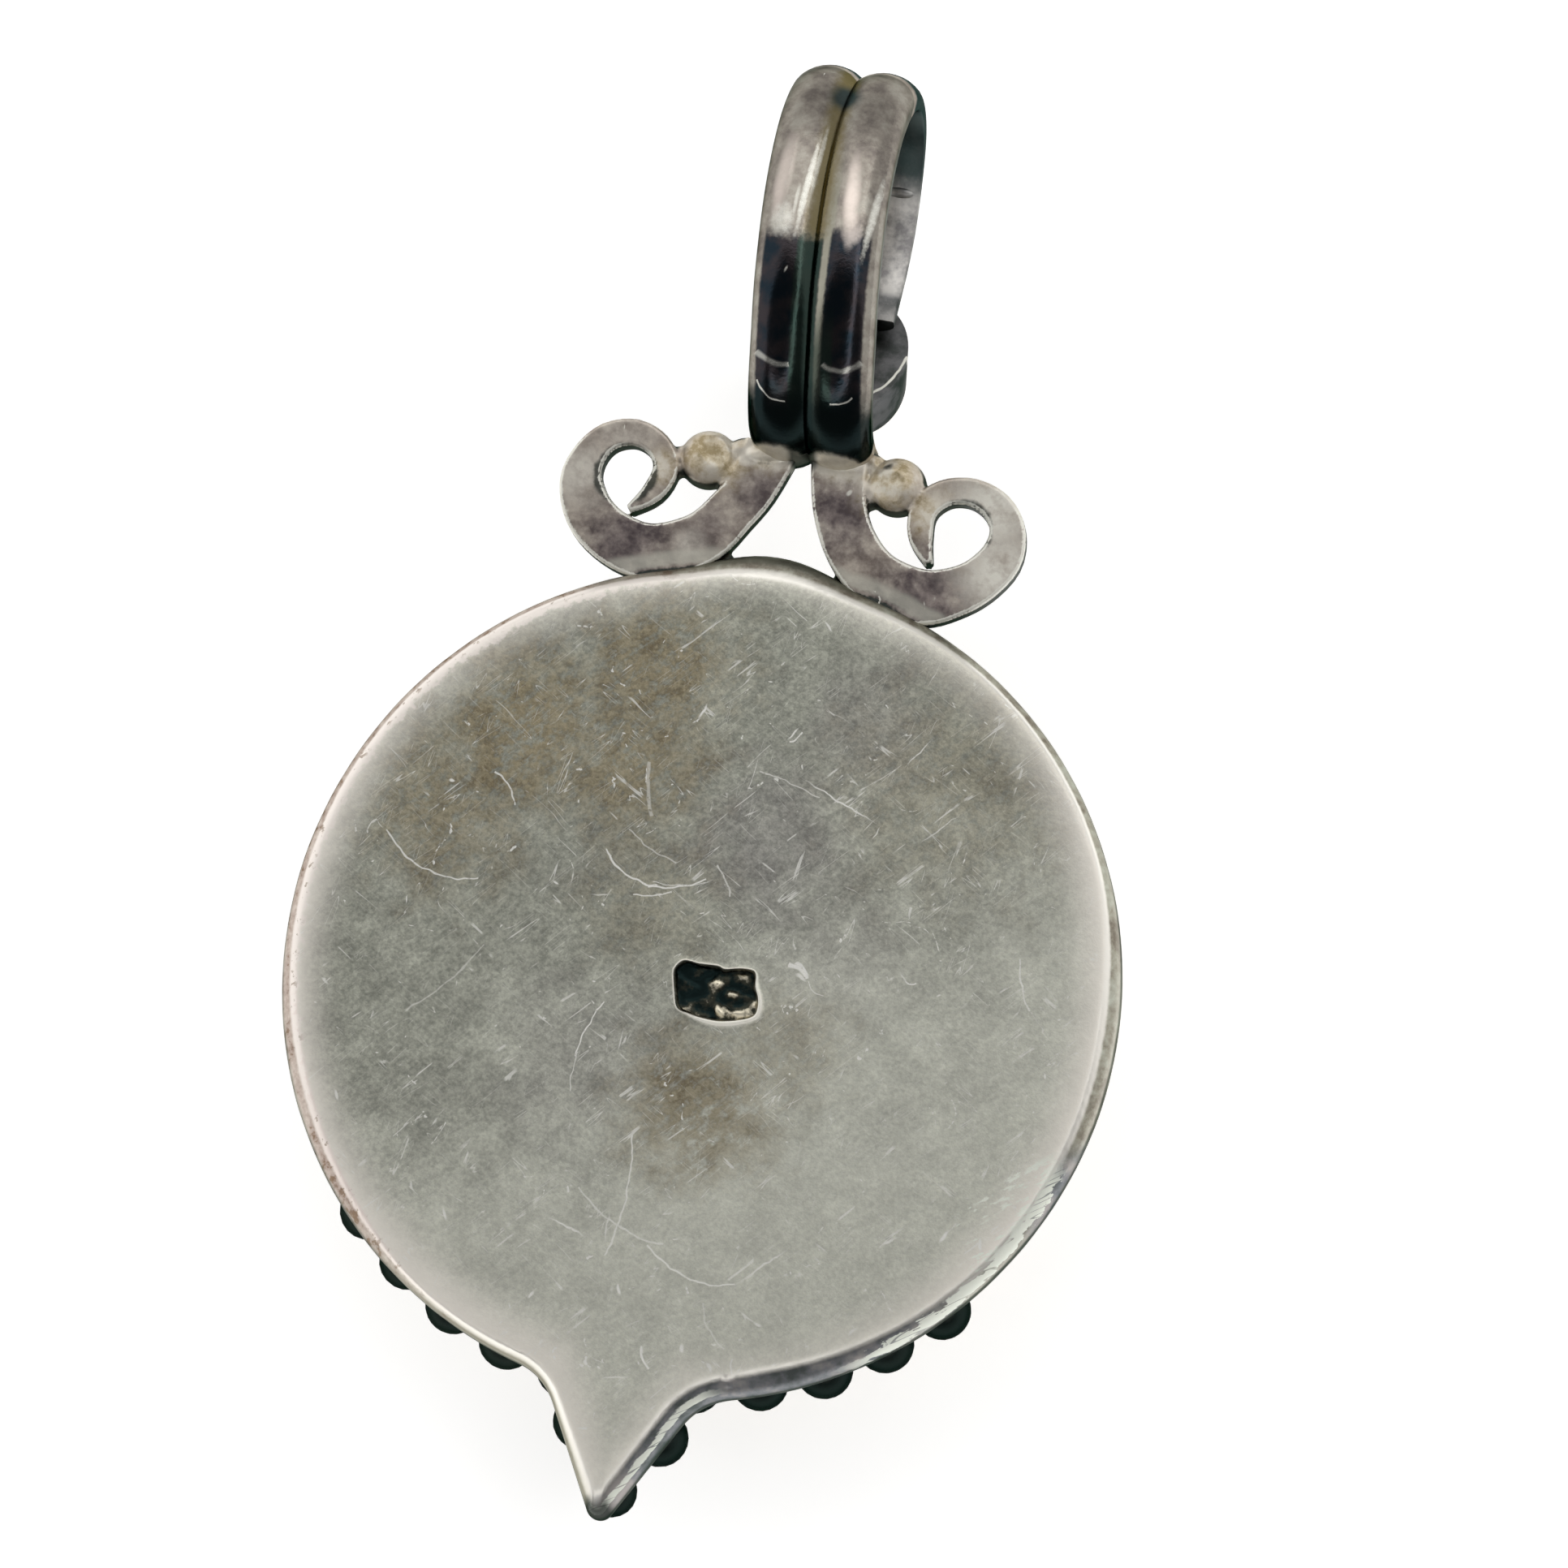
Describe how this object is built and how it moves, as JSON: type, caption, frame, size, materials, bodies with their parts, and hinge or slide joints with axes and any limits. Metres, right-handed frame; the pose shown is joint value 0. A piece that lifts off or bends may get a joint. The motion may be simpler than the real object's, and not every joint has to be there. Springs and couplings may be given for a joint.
{
  "type": "flower pendant",
  "caption": "Round silver pendant lying face down, with a carved flower in its bezel, a pointed tip with granules, scroll feet with balls and a half-round wire bail.",
  "frame": {"origin": "middle of the footprint, on the surface that the petals lie on", "axes": "+Z out of the pendant's back, +Y towards the end of the bail, +X to the right in the picture"},
  "size_m": [0.0348, 0.0624, 0.0126],
  "materials": {
    "silver": "oxidised sterling silver, satin back, polished bail",
    "bloom": "carved and polished bone",
    "cabochon": "polished"
  },
  "bodies": {
    "root": {"silver_mount": "silver", "carved_flower": "bloom", "bail_stone": "cabochon"}
  },
  "joints": []
}
